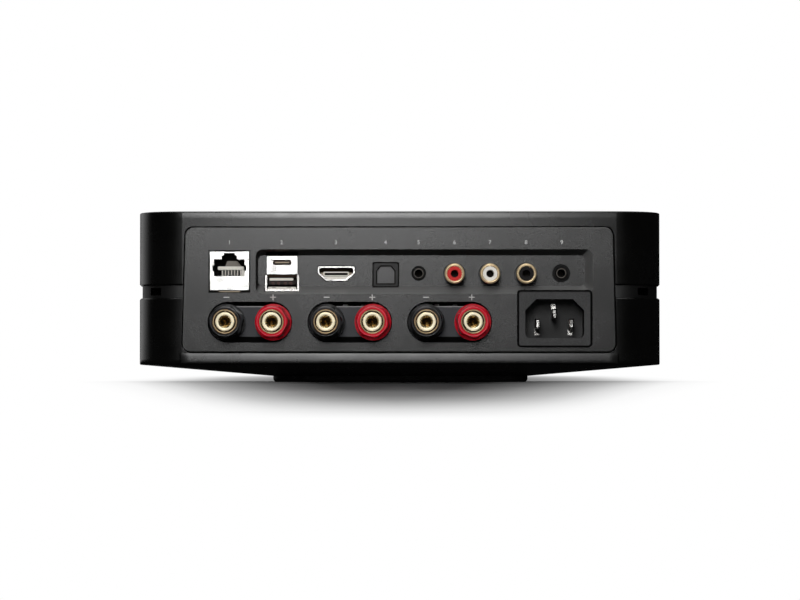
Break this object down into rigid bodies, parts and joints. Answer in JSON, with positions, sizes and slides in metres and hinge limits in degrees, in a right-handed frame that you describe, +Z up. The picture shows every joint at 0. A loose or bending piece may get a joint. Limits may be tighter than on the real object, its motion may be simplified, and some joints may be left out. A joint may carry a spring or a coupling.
{
  "type": "streaming amplifier",
  "caption": "Low rounded box amplifier with a groove round its waist, a bay of sockets, a mains inlet and a row of screw-down speaker posts in its rear panel.",
  "frame": {"origin": "centre of the foot's flat underside", "axes": "+Z up, the rear panel with its sockets faces -Y, +X to the right of somebody facing it"},
  "size_m": [0.217, 0.193, 0.0704],
  "materials": {
    "case_plastic": "fine matt black",
    "panel_plastic": "fine satin black",
    "frame_plastic": "matt black",
    "foot_rubber": "matt",
    "touch_gloss": "polished",
    "window_dark": "polished, dark",
    "circuit_board": "solder mask",
    "steel": "satin",
    "nickel": "bright plated sheet",
    "gold": "bright gold plated",
    "aluminium": "extruded",
    "black_plastic": "moulded",
    "block_plastic": "moulded",
    "inlet_plastic": "moulded, finely textured",
    "shutter_grey": "smooth",
    "cap_black": "polished",
    "cap_red": "polished",
    "insulator_red": "smooth",
    "insulator_white": "smooth",
    "insulator_black": "smooth",
    "ferrite": "fired ceramic",
    "sleeve": "shrink sleeve",
    "chip_black": "moulded",
    "socket_cream": "moulded"
  },
  "bodies": {
    "chassis": {"base_foot": "foot_rubber", "bottom_cover": "case_plastic", "waist_frame": "frame_plastic", "top_cover": "case_plastic", "case_screws": "steel", "touch_panel": "touch_gloss", "touch_board": "circuit_board", "ir_window": "window_dark", "front_board": "circuit_board", "rear_panel": "panel_plastic", "mains_inlet": "inlet_plastic", "mains_pins": "nickel", "terminal_block_1": "block_plastic", "terminal_block_2": "block_plastic", "terminal_block_3": "block_plastic", "speaker_posts": "gold", "network_shell": "nickel", "network_insert": "socket_cream", "network_contacts": "gold", "usb_stack": "nickel", "usb_a_shell": "nickel", "usb_tongues": "socket_cream", "av_shell": "nickel", "av_insulator": "black_plastic", "optical_socket": "black_plastic", "mini_jack": "black_plastic", "remote_jack": "shutter_grey", "jack_contacts": "nickel", "phono_block": "black_plastic", "phono_barrels": "gold", "phono_contacts": "nickel", "phono_insulator_red": "insulator_red", "phono_insulator_white": "insulator_white", "phono_insulator_black": "insulator_black", "main_board": "circuit_board", "power_board": "circuit_board", "board_standoffs": "steel", "board_screws": "steel", "heat_sink": "aluminium", "power_parts": "chip_black", "power_transformer": "ferrite", "bulk_capacitors": "sleeve", "output_inductors": "ferrite", "board_connector": "black_plastic", "board_chips": "chip_black", "radio_antennas": "circuit_board"},
    "insert_1": {"cap_insert_1": "gold"},
    "cap_1": {"terminal_cap_1": "cap_black"},
    "insert_2": {"cap_insert_2": "gold"},
    "cap_2": {"terminal_cap_2": "cap_red"},
    "insert_3": {"cap_insert_3": "gold"},
    "cap_3": {"terminal_cap_3": "cap_black"},
    "insert_4": {"cap_insert_4": "gold"},
    "cap_4": {"terminal_cap_4": "cap_red"},
    "insert_5": {"cap_insert_5": "gold"},
    "cap_5": {"terminal_cap_5": "cap_black"},
    "insert_6": {"cap_insert_6": "gold"},
    "cap_6": {"terminal_cap_6": "cap_red"},
    "shutter": {"optical_shutter": "shutter_grey"}
  },
  "joints": [
    {"name": "cap_travel_1", "type": "slide", "parent": "chassis", "child": "insert_1", "axis": [0, -1, 0], "range_m": [0, 0.005]},
    {"name": "cap_turn_1", "type": "hinge", "parent": "insert_1", "child": "cap_1", "pos_m": [-0.07103, -0.0858, 0.02465], "axis": [0, -1, 0], "range_deg": [0, 1800]},
    {"name": "cap_travel_2", "type": "slide", "parent": "chassis", "child": "insert_2", "axis": [0, -1, 0], "range_m": [0, 0.005]},
    {"name": "cap_turn_2", "type": "hinge", "parent": "insert_2", "child": "cap_2", "pos_m": [-0.05198, -0.0858, 0.02465], "axis": [0, -1, 0], "range_deg": [0, 1800]},
    {"name": "cap_travel_3", "type": "slide", "parent": "chassis", "child": "insert_3", "axis": [0, -1, 0], "range_m": [0, 0.005]},
    {"name": "cap_turn_3", "type": "hinge", "parent": "insert_3", "child": "cap_3", "pos_m": [-0.02987, -0.0858, 0.02465], "axis": [0, -1, 0], "range_deg": [0, 1800]},
    {"name": "cap_travel_4", "type": "slide", "parent": "chassis", "child": "insert_4", "axis": [0, -1, 0], "range_m": [0, 0.005]},
    {"name": "cap_turn_4", "type": "hinge", "parent": "insert_4", "child": "cap_4", "pos_m": [-0.01082, -0.0858, 0.02465], "axis": [0, -1, 0], "range_deg": [0, 1800]},
    {"name": "cap_travel_5", "type": "slide", "parent": "chassis", "child": "insert_5", "axis": [0, -1, 0], "range_m": [0, 0.005]},
    {"name": "cap_turn_5", "type": "hinge", "parent": "insert_5", "child": "cap_5", "pos_m": [0.01128, -0.0858, 0.02465], "axis": [0, -1, 0], "range_deg": [0, 1800]},
    {"name": "cap_travel_6", "type": "slide", "parent": "chassis", "child": "insert_6", "axis": [0, -1, 0], "range_m": [0, 0.005]},
    {"name": "cap_turn_6", "type": "hinge", "parent": "insert_6", "child": "cap_6", "pos_m": [0.03033, -0.0858, 0.02465], "axis": [0, -1, 0], "range_deg": [0, 1800]},
    {"name": "shutter_hinge", "type": "hinge", "parent": "chassis", "child": "shutter", "pos_m": [-0.0056, -0.0819, 0.0481], "axis": [1, 0, 0], "range_deg": [0, 80], "stiffness_Nm_per_rad": 0.0005, "springref_deg": -17.19}
  ],
  "couplings": [
    {"joint": "cap_turn_1", "follows": "cap_travel_1", "rad_per_m": 6283.2},
    {"joint": "cap_turn_2", "follows": "cap_travel_2", "rad_per_m": 6283.2},
    {"joint": "cap_turn_3", "follows": "cap_travel_3", "rad_per_m": 6283.2},
    {"joint": "cap_turn_4", "follows": "cap_travel_4", "rad_per_m": 6283.2},
    {"joint": "cap_turn_5", "follows": "cap_travel_5", "rad_per_m": 6283.2},
    {"joint": "cap_turn_6", "follows": "cap_travel_6", "rad_per_m": 6283.2}
  ]
}
